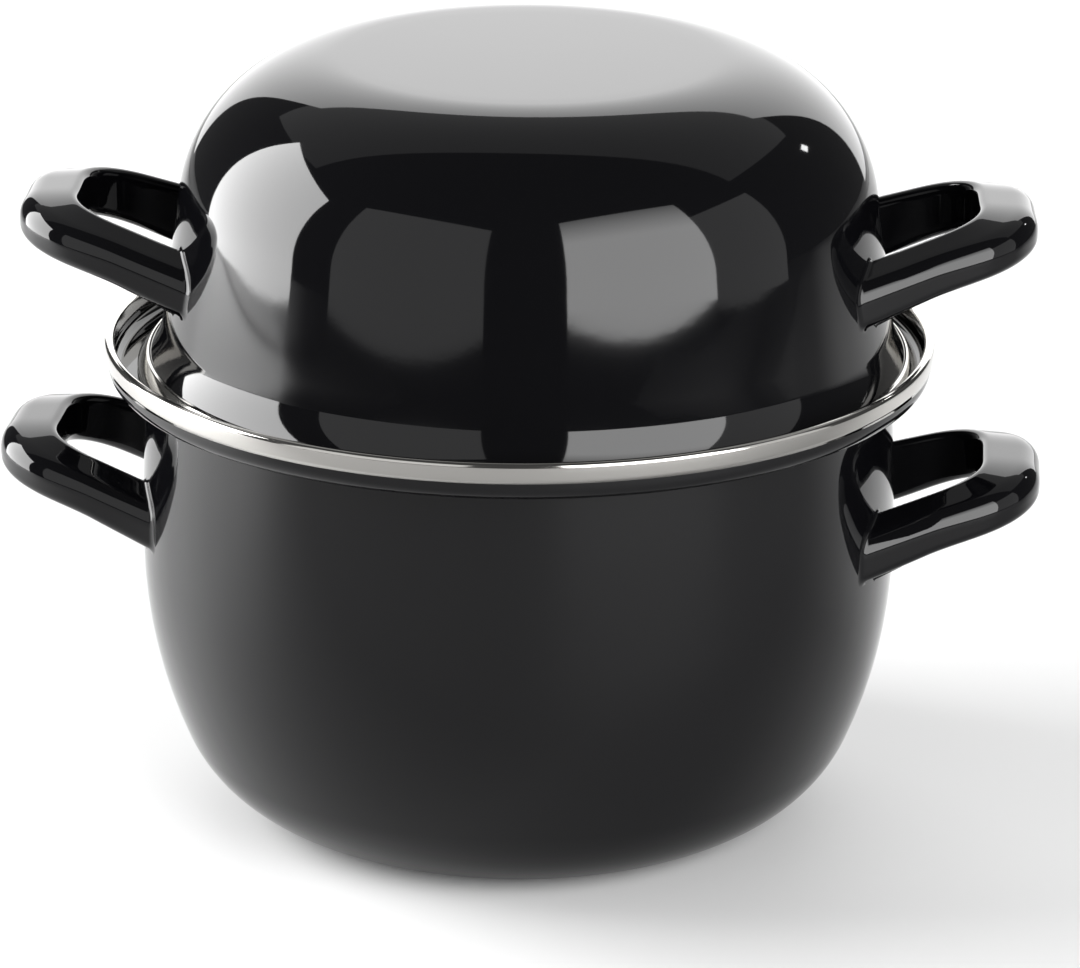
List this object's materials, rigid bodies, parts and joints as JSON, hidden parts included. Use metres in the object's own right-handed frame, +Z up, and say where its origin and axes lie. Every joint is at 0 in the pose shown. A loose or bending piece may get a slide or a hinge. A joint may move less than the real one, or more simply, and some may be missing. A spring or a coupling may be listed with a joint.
{
  "type": "mussel pot",
  "caption": "Enamelled steel mussel pot with loop handles, a polished rim band and a deep flat-topped lid that turns over into a bowl for the empty shells.",
  "frame": {"origin": "centre of the pot's flat base, on the surface it stands on", "axes": "+X through the pot's right handle, +Y to the back, +Z up"},
  "size_m": [0.3056, 0.2402, 0.2249],
  "materials": {
    "enamel": "gloss enamel",
    "rim_steel": "polished"
  },
  "bodies": {
    "root": {"pot_body": "enamel", "pot_rim_band": "rim_steel", "pot_handle_left": "enamel", "pot_handle_right": "enamel", "lid_body": "enamel", "lid_rim_band": "rim_steel", "lid_handle_left": "enamel", "lid_handle_right": "enamel"}
  },
  "joints": []
}
